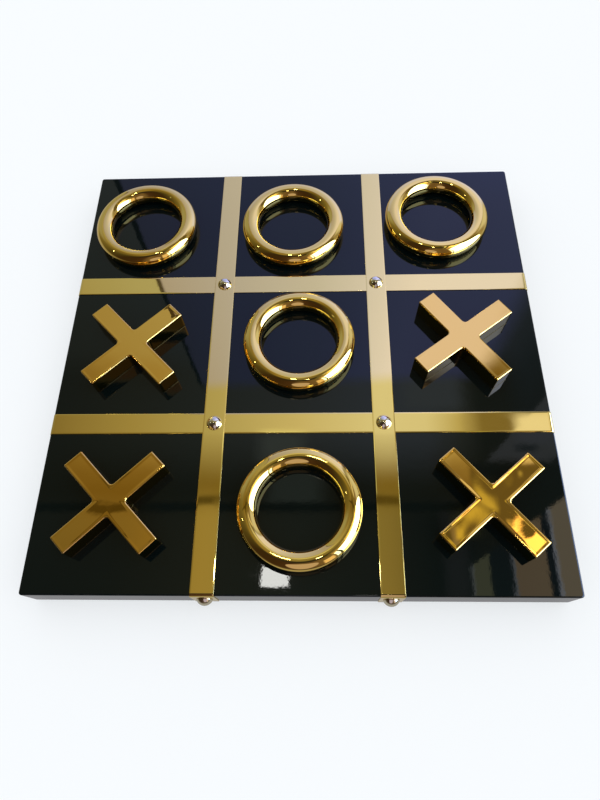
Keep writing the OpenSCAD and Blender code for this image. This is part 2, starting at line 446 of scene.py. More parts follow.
# %% Foot rubber
def make_foot_rubber():
    """Dark grey with a pebbled skin, paler where it is rubbed, and dusty."""
    material, tree, shader, place, edge = start_material("foot rubber")
    worn = use_group(tree, edge_wear, Place=place, Edge=edge, Scale=500.0, Amount=0.8)
    specks = use_group(tree, dust, Place=place, Cells=900.0, Size=0.00012, Share=0.25)
    skin = blend_colours(tree, noise(tree, place, 120.0, 3.0), (0.016, 0.016, 0.016), (0.028, 0.028, 0.027))
    skin = blend_colours(tree, worn, skin, (0.060, 0.058, 0.055))
    feed(tree, shader.inputs["Base Color"], blend_colours(tree, specks, skin, (0.16, 0.15, 0.14)))
    feed(tree, shader.inputs["Roughness"],
         use_group(tree, handling, Place=place, Scale=200.0, Base=0.62, Amount=0.18))
    height = use_group(tree, ripple, Place=place, Broad_Scale=900.0, Fine_Scale=3200.0, Fineness=0.7)
    bump(tree, shader, height, 50e-6)
    return material


foot_rubber = make_foot_rubber()
print("finish:", foot_rubber.name)

# %% [markdown]
# # Making a surface from rows of points
# Every piece here is one idea: rows of points, each row a closed loop, joined to the next row by
# four-sided faces. A row may shrink to one point or fold onto a line, which closes the shape.
# Points that then lie on each other are merged, and the faces are turned to point outwards.

# %% Helper for meshes
def surface(name, rows, material, body, nodes, edge=None, uv=None, second=None, closed=False):
    """Joins rows of points, an array of rows by columns by three, into a closed skin.

    Columns wrap round. With closed, the last row also joins the first, as on a ring. `edge` marks
    worn edges from 0 to 1, `uv` gives a place on the piece's own map, both for each point, and
    `second` picks a second material by face."""
    count, columns = rows.shape[:2]
    steps = count if closed else count - 1
    i = np.repeat(np.arange(steps), columns)
    j = np.tile(np.arange(columns), steps)
    i_next, j_next = (i + 1) % count, (j + 1) % columns
    faces = np.stack([i * columns + j, i * columns + j_next,
                      i_next * columns + j_next, i_next * columns + j], axis=1)
    mesh = bpy.data.meshes.new(name)
    mesh.from_pydata(rows.reshape(-1, 3).tolist(), [], faces.tolist())
    if edge is not None:
        mark = mesh.attributes.new("edge", "FLOAT", "POINT")
        mark.data.foreach_set("value", np.asarray(edge, np.float32).ravel())
    if uv is not None:
        corners = np.zeros(len(mesh.loops), np.int32)
        mesh.loops.foreach_get("vertex_index", corners)
        on_corners = uv.reshape(-1, 2)[corners].astype(np.float32)
        mesh.uv_layers.new(name="strip").uv.foreach_set("vector", on_corners.ravel())
    if second is not None:
        centres = rows.reshape(-1, 3)[faces].mean(axis=1)
        mesh.polygons.foreach_set("material_index", second[1](centres).astype(np.int32))
    merge_and_turn(mesh)
    mesh.materials.append(material)
    if second is not None:
        mesh.materials.append(second[0])
    piece = bpy.data.objects.new(name, mesh)
    bpy.context.scene.collection.objects.link(piece)
    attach(piece, body)
    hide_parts(*nodes)
    print(name, "-", len(mesh.polygons), "faces")
    return piece


def merge_and_turn(mesh):
    """Merges points that lie on each other, drops faces without area and turns the rest outwards."""
    work = bmesh.new()
    work.from_mesh(mesh)
    bmesh.ops.remove_doubles(work, verts=work.verts, dist=1e-7)
    bmesh.ops.dissolve_degenerate(work, edges=work.edges, dist=1e-8)
    bmesh.ops.recalc_face_normals(work, faces=work.faces)
    open_edges = sum(1 for e in work.edges if not e.is_manifold)
    for face in work.faces:
        face.smooth = True
    work.to_mesh(mesh)
    work.free()
    if open_edges:
        print("  open edges:", open_edges)


def smooth_step(x):
    """0 below 0, 1 above 1, and an S between."""
    x = np.clip(x, 0, 1)
    return x * x * (3 - 2 * x)

# %% [markdown]
# # The slab
# The slab could be a cube with a Bevel modifier, but then nothing would say where its edges are
# for the wear. Instead its upright profile, from the middle of the underside round to the
# middle of the top, is carried round the square outline. Close beside each rounding runs an
# extra row that keeps the flats flat in the shading.

# %% Build the slab
def square_outline(half, radius, per_corner, per_side):
    """A square with round corners, anticlockwise, one loop for each half side and radius given.

    Each corner is a quarter circle about a centre set in by the radius, and the straight sides
    between the corners are divided evenly."""
    half = np.atleast_1d(half)[:, None, None, None]
    radius = np.atleast_1d(radius)[:, None, None, None]
    quarter = np.radians(np.arange(4)[:, None] * 90 + np.linspace(0, 90, per_corner + 1))
    arm = np.stack([np.cos(quarter), np.sin(quarter)], axis=-1)[None]
    centre = np.array([[1, 1], [-1, 1], [-1, -1], [1, -1]])[None, :, None, :]
    arcs = centre * (half - radius) + arm * radius
    share = (np.arange(1, per_side) / per_side)[None, None, :, None]
    sides = arcs[:, :, -1:] * (1 - share) + np.roll(arcs, -1, axis=1)[:, :, :1] * share
    return np.concatenate([arcs, sides], axis=2).reshape(len(half), -1, 2)


def build_slab():
    """Rows set in by 0 at the side wall, by r times (1 - cosine) over a rounding, then to the middle."""
    r, guard = slab_edge_r, 0.15 * MM
    turn = np.linspace(0, math.pi / 2, 9)
    over = r * (1 - np.cos(turn))
    up = r * np.sin(turn)
    inset = np.concatenate([[slab_half, slab_half / 2, r + guard], over[::-1], [0, 0], over,
                            [r + guard, slab_half / 2, slab_half]])
    height = np.concatenate([[slab_bottom] * 3, slab_bottom + r - up[::-1],
                             [slab_bottom + r + guard, slab_top - r - guard],
                             slab_top - r + up, [slab_top] * 3])
    radius = np.clip(slab_corner_r - 0.85 * inset, 0.3 * MM, None)
    radius[[0, -1]] = 0
    outline = square_outline(slab_half - inset, radius, 8, 24)
    heights = np.broadcast_to(height[:, None, None], outline.shape[:2] + (1,))
    rows = np.concatenate([outline, heights], axis=2)
    edge = np.zeros(rows.shape[:2])
    edge[3:12] = np.sin(2 * turn[::-1])[:, None]
    edge[14:23] = np.sin(2 * turn)[:, None]
    underside = (underside_paint, lambda centres: centres[:, 2] < slab_bottom + 0.02 * MM)
    return surface("lacquered_slab", rows, lacquer, "board_body", ["board"],
                   edge=edge, second=underside)


slab = build_slab()

# %% [markdown]
# # The strips
# A strip is flat sheet, folded down over the slab's edges. The two that run from side to side
# lie flat on the lacquer. The two that run from front to back are pulled taut over them: from
# each fold they rise evenly, by the thickness of the sheet, and run level from crossing to
# crossing. The strip's cross-section, a thin rectangle with slightly rounded edges, is carried
# along that path. Sheet metal is never dead flat, and one sees it in how reflections sway, so
# the flat gets waves of some hundredths of a millimetre.

# %% Build the strips
STRIP_WAVE = 0.012 * MM
STRIP_RUBBED_W = 0.20 * MM


def strip_section(inset, r=0.1 * MM):
    """A rounded rectangle as wide and thick as the strip, drawn in by an inset: across, then up."""
    half_w, half_t = strip_w / 2 - inset, strip_t / 2 - inset
    r = max(r - inset, 0.02 * MM)
    turn = np.radians(np.linspace(0, 90, 5))
    loop = []
    for k, (sx, sy) in enumerate([(1, 1), (-1, 1), (-1, -1), (1, -1)]):
        angle = turn + math.radians(90 * k)
        centre = np.array([sx * (half_w - r), sy * (half_t - r)])
        arc = centre + r * np.stack([np.cos(angle), np.sin(angle)], axis=1)
        loop.append(arc)
        if k % 2 == 0:
            across = np.linspace(arc[-1, 0], -arc[-1, 0], 16)[1:-1]
            loop.append(np.stack([across, np.full_like(across, arc[-1, 1])], axis=1))
    return np.concatenate(loop)


def strip_path(lift):
    """The strip seen from its side, on the face that lies on the slab: places and outward directions.

    A leg, a quarter circle, an even rise to the first crossing, a level run to the other, and back."""
    bend_x, bend_z = slab_half - bend_r, slab_top - bend_r
    leg = np.linspace(strip_end, bend_z, 8)[:-1]
    turn = np.linspace(math.pi, math.pi / 2, 13)
    x = np.linspace(-bend_x, bend_x, 281)[1:-1]
    z = slab_top + lift * np.clip((bend_x - np.abs(x)) / (bend_x - lift_end), 0, 1)
    tilt = np.gradient(z, x)
    round_bend = np.stack([np.cos(turn), np.sin(turn)], axis=1)
    left = np.concatenate([np.stack([np.full_like(leg, -slab_half), leg], axis=1),
                           np.array([-bend_x, bend_z]) + bend_r * round_bend])
    left_out = np.concatenate([np.tile([-1.0, 0.0], (len(leg), 1)), round_bend])
    flat_out = np.stack([-tilt, np.ones_like(tilt)], axis=1) / np.hypot(tilt, 1)[:, None]
    mirror = np.array([-1.0, 1.0])
    places = np.concatenate([left, np.stack([x, z], axis=1), left[::-1] * mirror])
    out = np.concatenate([left_out, flat_out, left_out[::-1] * mirror])
    return places, out


def waves(x, y, seed, count, shortest, longest):
    """A sum of sine waves of random direction, length and phase, divided by how many there are."""
    rng = np.random.default_rng(seed)
    total = 0
    for heading, length, phase in zip(rng.uniform(0, math.pi, count), rng.uniform(shortest, longest, count),
                                      rng.uniform(0, 2 * math.pi, count)):
        travelled = x * math.cos(heading) + y * math.sin(heading)
        total = total + np.sin(2 * math.pi * travelled / length + phase)
    return total / count


def build_strip(name, node, side, along_y, lift, seed):
    """Carries the section along the path; a point is the path's place plus its height along `out`."""
    places, out = strip_path(lift)
    end = 0.15 * MM
    insets = np.concatenate([[strip_t / 2, 0.12 * MM, 0.03 * MM], np.zeros(len(places)),
                             [0.03 * MM, 0.12 * MM, strip_t / 2]])
    drop = np.array([0, 0, 0.06 * MM])
    ends_z = strip_end + drop
    first = np.stack([np.full(3, -slab_half), ends_z], axis=1)
    places[0, 1] = places[-1, 1] = strip_end + end
    places = np.concatenate([first, places, first[::-1] * [-1, 1]])
    out = np.concatenate([np.tile(out[0], (3, 1)), out, np.tile(out[-1], (3, 1))])
    section = np.stack([strip_section(s) for s in insets])
    section[[0, -1]] = 0
    across, up = section[..., 0], section[..., 1] + strip_t / 2
    u = places[:, None, 0] + out[:, None, 0] * up
    z = places[:, None, 1] + out[:, None, 1] * up
    on_top = smooth_step((slab_half - 8 * MM - np.abs(u)) / (20 * MM))
    dip = STRIP_WAVE * (waves(u, across, seed, 5, 26 * MM, 70 * MM) - 1)
    z = z + np.minimum(dip, 0) * on_top * (up > strip_t / 2)
    sideways = across + side * strip_offset
    rows = np.stack([sideways, u, z] if along_y else [u, sideways, z], axis=-1)
    length = np.concatenate([[0], np.cumsum(np.hypot(*np.diff(places, axis=0).T))])
    uv = np.stack([np.broadcast_to(length[:, None], across.shape) + seed, across], axis=-1)
    near_edge = np.clip(1 - (strip_w / 2 - np.abs(across)) / STRIP_RUBBED_W, 0, 1)
    return surface(name, rows, strip_brass, "board_body", [node], edge=near_edge, uv=uv)


# Each strip: where, on which side of the middle, whether it runs from front to back, its lift.
STRIPS = [("left", -1, True, strip_t), ("right", 1, True, strip_t),
          ("back", 1, False, 0), ("front", -1, False, 0)]
for seed, (where, side, along_y, lift) in enumerate(STRIPS):
    build_strip("brass_strip_" + where, "strip_" + where, side, along_y, lift, seed + 1)

# %% [markdown]
# # The dome nails
# A dome nail is a pressed, hollow cap on a thin shank. All of it is round about one axis, so it
# is one profile turned about it: up the point and the shank, out along the hollow of the cap,
# round the rim and over the dome. The nails at the crossings stand upright, and those in the
# folded ends lie level, so each one gets three directions: two across and one out of the board.

# %% Build the nails
nails_low, nails_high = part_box("crossing_nails")
nail_seat = slab_top + 2 * strip_t
head_h = nails_high.z - nail_seat
head_r = nails_high.x - strip_offset
head_wall = 0.8 * MM
shank_r, shank_l, point_l = 0.9 * MM, nail_seat - nails_low.z, 3 * MM
side_nail_z = (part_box("front_nails")[0].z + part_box("front_nails")[1].z) / 2


def nail_profile():
    """Distance from the axis and height over the seat, from the point round to the crown.

    The dome is part of a sphere through rim and crown, and the hollow is a sphere one wall smaller."""
    dome_r = (head_r ** 2 + head_h ** 2) / (2 * head_h)
    middle = head_h - dome_r
    hollow_r = dome_r - head_wall
    start, stop = math.asin(shank_r / hollow_r), math.acos(-middle / hollow_r)
    inside = np.linspace(start, stop, 12)
    rim = 0.25 * MM
    lip = np.linspace(-90, 10, 7) * math.pi / 180
    outside = np.linspace(math.acos(np.clip((rim * 1.2 - middle) / dome_r, -1, 1)), 0, 26)[1:]
    r = np.concatenate([[0, shank_r * 0.5, shank_r, shank_r], hollow_r * np.sin(inside),
                        head_r - rim + rim * np.cos(lip), dome_r * np.sin(outside)])
    z = np.concatenate([[-shank_l, -shank_l + point_l / 2, -shank_l + point_l, -0.1 * MM],
                        middle + hollow_r * np.cos(inside), rim + rim * np.sin(lip),
                        middle + dome_r * np.cos(outside)])
    return r, z


def build_nails(name, node, seats, axes):
    """Turns the profile about each nail's axis: place = seat + r cos(a) across + r sin(a) along + z out."""
    r, z = nail_profile()
    a = np.linspace(0, 2 * math.pi, 56, endpoint=False)
    across, along, out = (np.array(v, float) for v in axes)
    shape = (r[:, None, None] * (np.cos(a)[None, :, None] * across + np.sin(a)[None, :, None] * along)
             + z[:, None, None] * out)
    near_rim = np.exp(-((z - 0.2 * MM) / (0.35 * MM)) ** 2) * (r > head_r * 0.8)
    edge = np.broadcast_to(near_rim[:, None], shape.shape[:2])
    parts = [surface(f"{name}_{k}", shape + np.array(seat), nail_chrome, "board_body", [node],
                     edge=edge) for k, seat in enumerate(seats)]
    return join_pieces(name, parts)


def join_pieces(name, parts):
    """Makes one piece of several, as the nails of one side share one node."""
    with bpy.context.temp_override(active_object=parts[0], selected_editable_objects=parts):
        bpy.ops.object.join()
    parts[0].name = parts[0].data.name = name
    return parts[0]


UPWARDS = (0, 0, 1)
# Each side face: where it is, which way it runs, and which way it looks.
SIDE_FACES = [("front", (1, 0, 0), (0, -1, 0)), ("back", (-1, 0, 0), (0, 1, 0)),
              ("left", (0, -1, 0), (-1, 0, 0)), ("right", (0, 1, 0), (1, 0, 0))]
either_side = (-strip_offset, strip_offset)

build_nails("dome_nails_crossings", "crossing_nails",
            [(x, y, nail_seat) for x in either_side for y in either_side], [(1, 0, 0), (0, 1, 0), UPWARDS])
for where, along, out in SIDE_FACES:
    face_middle = np.array(out) * (slab_half + strip_t) + np.array(UPWARDS) * side_nail_z
    seats = [face_middle + np.abs(along) * offset for offset in either_side]
    build_nails("dome_nails_" + where, where + "_nails", seats, [along, UPWARDS, out])

# %% [markdown]
# # The feet
# Each foot is a low rubber button, wider where it is stuck to the slab. It is another turned
# profile, with a soft edge at the floor and a shallow dimple that helps it to grip.

# %% Build the feet
FOOT_PAD_R = 4.5 * MM


def build_foot(where):
    """Profile from the middle of the dimple, round the soft edge, up the cone and back over the top."""
    low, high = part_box("foot_" + where)
    centre = np.array([(low.x + high.x) / 2, (low.y + high.y) / 2, 0])
    wide, tall, soft = (high.x - low.x) / 2, high.z, 0.5 * MM
    turn = np.linspace(-90, -10, 7) * math.pi / 180
    r = np.concatenate([[0, 1.6 * MM, 2.4 * MM, 3.0 * MM], FOOT_PAD_R - soft + soft * np.cos(turn),
                        [(FOOT_PAD_R + wide) / 2, wide - 0.15 * MM, wide - 0.1 * MM, wide - 0.4 * MM, 0]])
    z = np.concatenate([[0.35 * MM, 0.35 * MM, 0.15 * MM, 0], soft + soft * np.sin(turn),
                        [tall * 0.52, tall - 0.25 * MM, tall - 0.05 * MM, tall, tall]])
    a = np.linspace(0, 2 * math.pi, 48, endpoint=False)
    z_rows = np.broadcast_to(z[:, None], (len(z), len(a)))
    rows = np.stack([r[:, None] * np.cos(a), r[:, None] * np.sin(a), z_rows], axis=-1) + centre
    edge = np.broadcast_to(np.exp(-((r - FOOT_PAD_R) / (0.5 * MM)) ** 2)[:, None], rows.shape[:2])
    return surface("rubber_foot_" + where, rows, foot_rubber, "board_body", ["foot_" + where],
                   edge=edge)


for where in ("front_left", "front_right", "back_left", "back_right"):
    build_foot(where)

# %% [markdown]
# # The rings
# A ring is a round bar bent into a circle: a torus, which Blender has ready made. Here its
# formula is written out, because the bar's radius then can waver by hundredths of a millimetre,
# as grinding by hand leaves it. That waver bends the long highlights a little, each ring in its
# own way.

# %% Build the rings
def build_ring(where, seed):
    """Point at angle u round the ring and v round the bar: (R + r cos v) along u, and r sin v up."""
    low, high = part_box("ring_" + where)
    centre = np.array([(low.x + high.x) / 2, (low.y + high.y) / 2, (low.z + high.z) / 2])
    bar = (high.z - low.z) / 2
    big = (high.x - low.x) / 2 - bar
    u = np.linspace(0, 2 * math.pi, 288, endpoint=False)[:, None]
    v = np.linspace(0, 2 * math.pi, 96, endpoint=False)[None, :]
    rng = np.random.default_rng(seed)
    waver = 0
    for turns_u in (3, 5, 8, 13):
        phase_u, phase_v = rng.uniform(0, 2 * math.pi, 2)
        waver = waver + np.sin(turns_u * u + phase_u + np.sin(v + phase_v)) * (3 / turns_u)
    r = bar - 0.010 * MM * (1 + waver / 6)
    rows = np.stack([(big + r * np.cos(v)) * np.cos(u), (big + r * np.cos(v)) * np.sin(u),
                     np.broadcast_to(r * np.sin(v), r.shape)], axis=-1) + centre
    edge = np.broadcast_to(np.clip(-np.sin(v) - 0.85, 0, 1) * 6, rows.shape[:2])
    return surface("gold_ring_" + where, rows, ring_gold, "ring_" + where, ["ring_" + where],
                   edge=edge, closed=True)


for seed, where in enumerate(("back_left", "back_middle", "back_right", "centre", "front_middle")):
    build_ring(where, seed + 11)

# %% [markdown]
# # The crosses
# A cross is cast in one piece. Its outline is walked once, with soft outer corners and small
# fillets in the inner ones. Drawing that outline inwards over the edge gives the rounding, and
# then each point slides on to the middle line of its arm, which closes the face. The edges are
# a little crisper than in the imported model. The top of a polished casting is never flat: inside a
# narrow rim, the lip, it sinks by some hundredths of a millimetre and sways in soft waves. On
# three crosses one hardly sees it, while the front right one sways enough to break up what it
# mirrors.

# %% Build the crosses
CROSS_SPAN = 83 * MM
CROSS_BAR_W = 14.5 * MM
CROSS_EDGE_R = 0.8 * MM
CROSS_INNER_R = 2.5 * MM
CROSS_LIP = 1.6 * MM
CROSSES = {
    "middle_left": dict(turn=44.2, dish=0.015 * MM, sway=0.008 * MM),
    "middle_right": dict(turn=36.8, dish=0.015 * MM, sway=0.008 * MM),
    "front_left": dict(turn=44.7, dish=0.030 * MM, sway=0.014 * MM),
    "front_right": dict(turn=40.3, dish=0.030 * MM, sway=0.120 * MM),
}


def cross_outline(inset):
    """A cross drawn in by an inset: half a fillet, side, tip, side and half a fillet, four times."""
    a, b = CROSS_SPAN / 2 - inset, CROSS_BAR_W / 2 - inset
    corner = CROSS_EDGE_R - 0.85 * min(inset, CROSS_EDGE_R)
    fillet_at, fillet = CROSS_BAR_W / 2 + CROSS_INNER_R, CROSS_INNER_R + inset
    half_fillet = np.radians(np.linspace(135, 90, 5))
    inner = [fillet_at, -fillet_at] + fillet * np.stack([np.cos(half_fillet), np.sin(half_fillet)], axis=1)
    x = np.linspace(fillet_at, a - corner, 27)[1:-1]
    side = np.stack([x, np.full_like(x, -b)], axis=1)
    quarter = np.radians(np.linspace(-90, 0, 6))
    tip_corner = [a - corner, corner - b] + corner * np.stack([np.cos(quarter), np.sin(quarter)], axis=1)
    lower = np.concatenate([inner, side, tip_corner])
    y = np.linspace(-b + corner, b - corner, 10)[1:-1]
    tip = np.stack([np.full_like(y, a), y], axis=1)
    arm = np.concatenate([lower, tip, lower[::-1][:-1] * [1, -1]])
    loop = [np.stack([arm[:, 0] * c - arm[:, 1] * s, arm[:, 0] * s + arm[:, 1] * c], axis=1)
            for c, s in ((1, 0), (0, 1), (-1, 0), (0, -1))]
    return np.concatenate(loop)


def middle_line(loop, inset):
    """Where each point of a drawn-in outline lands on the middle line of its own arm."""
    a, b = CROSS_SPAN / 2 - inset, CROSS_BAR_W / 2 - inset
    arms = loop.reshape(4, -1, 2)
    start = np.abs(arms[0, 0, 0])
    reach = np.stack([arms[0, :, 0], arms[1, :, 1], -arms[2, :, 0], -arms[3, :, 1]])
    reach = np.clip((reach - start) * (a - b) / (a - start), 0, None)
    heading = np.array([[1, 0], [0, 1], [-1, 0], [0, -1]])
    return (reach[..., None] * heading[:, None]).reshape(-1, 2)


def hollow(x, y):
    """How much of the dish's depth a place has: 0 along the outline and 1 in the middle of the arms.

    Each bar alone rises in an S over the width of the lip from its sides and tips, and the two are
    joined as 1 - (1 - first)(1 - second), which leaves no crease where they cross."""
    a, b = CROSS_SPAN / 2 - CROSS_EDGE_R, CROSS_BAR_W / 2 - CROSS_EDGE_R

    def bar(along, across):
        return smooth_step((b - np.abs(across)) / CROSS_LIP) * smooth_step((a - np.abs(along)) / CROSS_LIP)

    return 1 - (1 - bar(x, y)) * (1 - bar(y, x))


def build_cross(where, seed, turn, dish, sway):
    """Rows from the underside's middle line over the sides to the top's, turned and put in its cell."""
    low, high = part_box("cross_" + where)
    tall, r, guard = high.z - low.z, CROSS_EDGE_R, 0.06 * MM
    arc = np.linspace(0, math.pi / 2, 8)
    over, up = r * (1 - np.cos(arc)), r * np.sin(arc)
    flat = cross_outline(r + guard)
    centre_line = middle_line(flat, r + guard)
    plan, height = [], []
    for share in (1, 0.6, 0.25, 0):
        plan.append(flat * (1 - share) + centre_line * share)
        height.append(0)
    for inset in [*over[::-1], 0, 0, *over]:
        plan.append(cross_outline(inset))
    height += list(r - up[::-1]) + [r + guard, tall - r - guard] + list(tall - r + up)
    for share in np.linspace(0, 1, 15):
        plan.append(flat * (1 - share) + centre_line * share)
        height.append(tall)
    plan, height = np.array(plan), np.array(height)
    sink = hollow(plan[..., 0], plan[..., 1])
    swaying = 1 + waves(plan[..., 0], plan[..., 1], seed, 5, 13 * MM, 34 * MM)
    top = (height >= tall)[:, None]
    z = height[:, None] - top * (dish * sink + sway * swaying * sink)
    c, s = math.cos(math.radians(turn)), math.sin(math.radians(turn))
    x = (low.x + high.x) / 2 + plan[..., 0] * c - plan[..., 1] * s
    y = (low.y + high.y) / 2 + plan[..., 0] * s + plan[..., 1] * c
    rows = np.stack([x, y, z + low.z], axis=-1)
    edge = np.zeros(rows.shape[:2])
    edge[4:12] = np.sin(2 * arc[::-1])[:, None]
    edge[14:22] = np.sin(2 * arc)[:, None]
    return surface("gold_cross_" + where, rows, cross_gold, "cross_" + where,
                   ["cross_" + where], edge=edge)


for seed, (where, shape) in enumerate(CROSSES.items()):
    build_cross(where, seed + 31, **shape)

# %% [markdown]
# # The floor
# The floor is a plain pale grey sheet. A small glow, which lights nothing else, brings it up to
# paper white, and the board's soft shadow stays on it. Mirrors don't see this sheet at all: the
# studio that is painted into the world below has its own table for them.

# %% Lay the floor
FLOOR_REACH = 8.0
FLOOR_COLOUR = (0.42, 0.437, 0.452)
FLOOR_GLOW = (0.540, 0.552, 0.560)


def seen_by_mirrors(tree):
    """1 for rays that come from a mirror or glass."""
    path = tree.nodes.new("ShaderNodeLightPath").outputs
    return calculate(tree, "MAXIMUM", path["Is Glossy Ray"], path["Is Transmission Ray"])


def seen_directly(tree):
    """1 for rays of the camera, mirrors and glass, and 0 for those that only carry light."""
    looked_at = tree.nodes.new("ShaderNodeLightPath").outputs["Is Camera Ray"]
    return calculate(tree, "MAXIMUM", looked_at, seen_by_mirrors(tree))


def lay_floor():
    """One wide square just under the feet."""
    r = FLOOR_REACH
    mesh = bpy.data.meshes.new("pale_floor")
    mesh.from_pydata([(-r, -r, 0), (r, -r, 0), (r, r, 0), (-r, r, 0)], [], [(0, 1, 2, 3)])
    floor = bpy.data.objects.new("pale_floor", mesh)
    bpy.context.scene.collection.objects.link(floor)
    material = bpy.data.materials.new("pale floor")
    material.use_nodes = True
    tree = material.node_tree
    shader = tree.nodes["Principled BSDF"]
    shader.inputs["Base Color"].default_value = opaque(FLOOR_COLOUR)
    shader.inputs["Roughness"].default_value = 0.9
    shader.inputs["Specular IOR Level"].default_value = 0.0
    shader.inputs["Emission Color"].default_value = opaque(FLOOR_GLOW)
    feed(tree, shader.inputs["Emission Strength"], seen_directly(tree))
    mesh.materials.append(material)
    floor.visible_glossy = False
    return floor


lay_floor()

# %% [markdown]
# # The light
# Nearly all of this object is a mirror, so the light is mostly a matter of what stands round it.
# Light that falls on matt things is one plain, soft level from the sky, with a gentle sun-like
# lamp from the right. Mirrors see more: a small studio, part of it far off and part close by.
# The far part is painted into the world in soft-edged patches. A patch on the ceiling is given
# by where the camera sees its reflection in the slab's top, in millimetres, because that is how
# one places a reflection in a studio. A patch on the walls is given by how far it goes round,
# from the back towards the right, and how high up, both in degrees.

# %% Make the soft panel group
def make_panel():
    """1 inside a range across and a range along, with soft edges, and 0 outside."""
    kinds = ("", "From ", "To ", "Soft ")
    inputs = [(kind + way, "Float") for way in ("Across", "Along") for kind in kinds]
    group, given, result = new_group("panel", inputs, [("Mask", "Float")])

    def inside(way):
        """Rises at the low limit and falls at the high one."""
        value, low, high, soft = (given[kind + way] for kind in kinds)
        mask = 1.0
        for limit, start, end in ((low, 0.0, 1.0), (high, 1.0, 0.0)):
            before = calculate(group, "SUBTRACT", limit, soft)
            after = calculate(group, "ADD", limit, soft)
            mask = calculate(group, "MULTIPLY", mask, ease(group, value, before, after, start, end))
        return mask

    feed(group, result[0], calculate(group, "MULTIPLY", inside("Across"), inside("Along")))
    return group


panel = make_panel()


def panel_mask(tree, across, along, width, height, soft):
    """The panel group with its limits given as pairs of numbers."""
    return use_group(tree, panel, Across=across, From_Across=float(width[0]), To_Across=float(width[1]),
                     Soft_Across=float(soft[0]), Along=along, From_Along=float(height[0]),
                     To_Along=float(height[1]), Soft_Along=float(soft[1]))

# %% [markdown]
# # The far studio
# The walls stand all round, up to about 65 degrees, and the ceiling hangs over them. It has a
# nearer, paler part beyond the board, which darkens towards the camera, and a darker rest. A
# board with a slanting edge and some patches lie over both. Below the horizon is the table: far
# off its tone changes on the way round, and close by it is one even grey. The camera itself sees
# paper white wherever it looks past the floor, and matt things get one plain soft light.

# %% Hang the far studio
# Colours round the horizon, by degrees from the back towards the right.
WALLS = [
    (-180, (0.20, 0.15, 0.12)), (-165, (0.07, 0.04, 0.03)), (-148, (0.05, 0.03, 0.02)),
    (-122, (0.045, 0.03, 0.02)), (-98, (0.09, 0.08, 0.04)), (-72, (0.19, 0.17, 0.08)),
    (-50, (0.28, 0.25, 0.15)), (-38, (0.38, 0.36, 0.24)), (-26, (0.44, 0.46, 0.40)),
    (28, (0.55, 0.58, 0.66)), (36, (0.24, 0.25, 0.24)), (41, (0.22, 0.20, 0.16)),
    (60, (0.26, 0.20, 0.15)), (95, (0.45, 0.45, 0.42)), (125, (0.30, 0.26, 0.20)),
    (148, (0.20, 0.15, 0.11)), (165, (0.16, 0.11, 0.08)), (180, (0.20, 0.15, 0.12)),
]
# The ceiling beyond the board and the rest of the ceiling, by millimetres across the slab.
NEAR_CEILING = [
    (-180, (0.24, 0.20, 0.10)), (-120, (0.36, 0.32, 0.18)), (-60, (0.46, 0.45, 0.33)),
    (0, (0.61, 0.60, 0.53)), (60, (0.74, 0.78, 0.85)), (90, (0.72, 0.75, 0.80)),
    (113, (0.53, 0.50, 0.35)), (129, (0.22, 0.18, 0.08)), (180, (0.20, 0.16, 0.07)),
]
FAR_CEILING = [
    (-300, (0.30, 0.28, 0.18)), (-180, (0.17, 0.14, 0.06)), (-120, (0.22, 0.18, 0.07)),
    (-62, (0.34, 0.28, 0.12)), (0, (0.31, 0.29, 0.16)), (60, (0.22, 0.19, 0.09)),
    (91, (0.12, 0.11, 0.06)), (97, (0.27, 0.25, 0.22)), (106, (0.27, 0.25, 0.22)),
    (112, (0.13, 0.12, 0.08)), (150, (0.12, 0.11, 0.08)), (300, (0.12, 0.11, 0.08)),
]
# What each part of the ceiling darkens to, and from where to where along the slab.
NEAR_SHADE, NEAR_DARKENS = (0.195, 0.148, 0.045), (-113, -64)
FAR_SHADE, FAR_DARKENS = (0.03, 0.03, 0.035), (-300, -215)
# Across, along and softness both ways, in slab millimetres, of the near ceiling.
NEAR_REACH = ((-210, 156), (-121, -10), (12, 14))
CEILING_STARTS = (60, 72)
# The table that mirrors see beyond the board, by degrees from the back towards the right.
TABLE = [
    (-180, (0.12, 0.10, 0.07)), (-150, (0.10, 0.07, 0.05)), (-110, (0.20, 0.18, 0.13)),
    (-60, (0.50, 0.50, 0.46)), (30, (0.50, 0.50, 0.50)), (90, (0.45, 0.45, 0.45)),
    (150, (0.10, 0.07, 0.05)), (180, (0.12, 0.10, 0.07)),
]
TABLE_BELOW, TABLE_CHANGES = (0.43, 0.43, 0.44), (-16, -9)
HORIZON = (-0.5, 1.5)
# A pale board whose edge runs slantwise: by millimetres across less millimetres along.
SLANTING_BOARD = (0.80, 0.78, 0.76)
SLANTING_REACH = ((217.5, 262), (-89, 60), (1.5, 4))
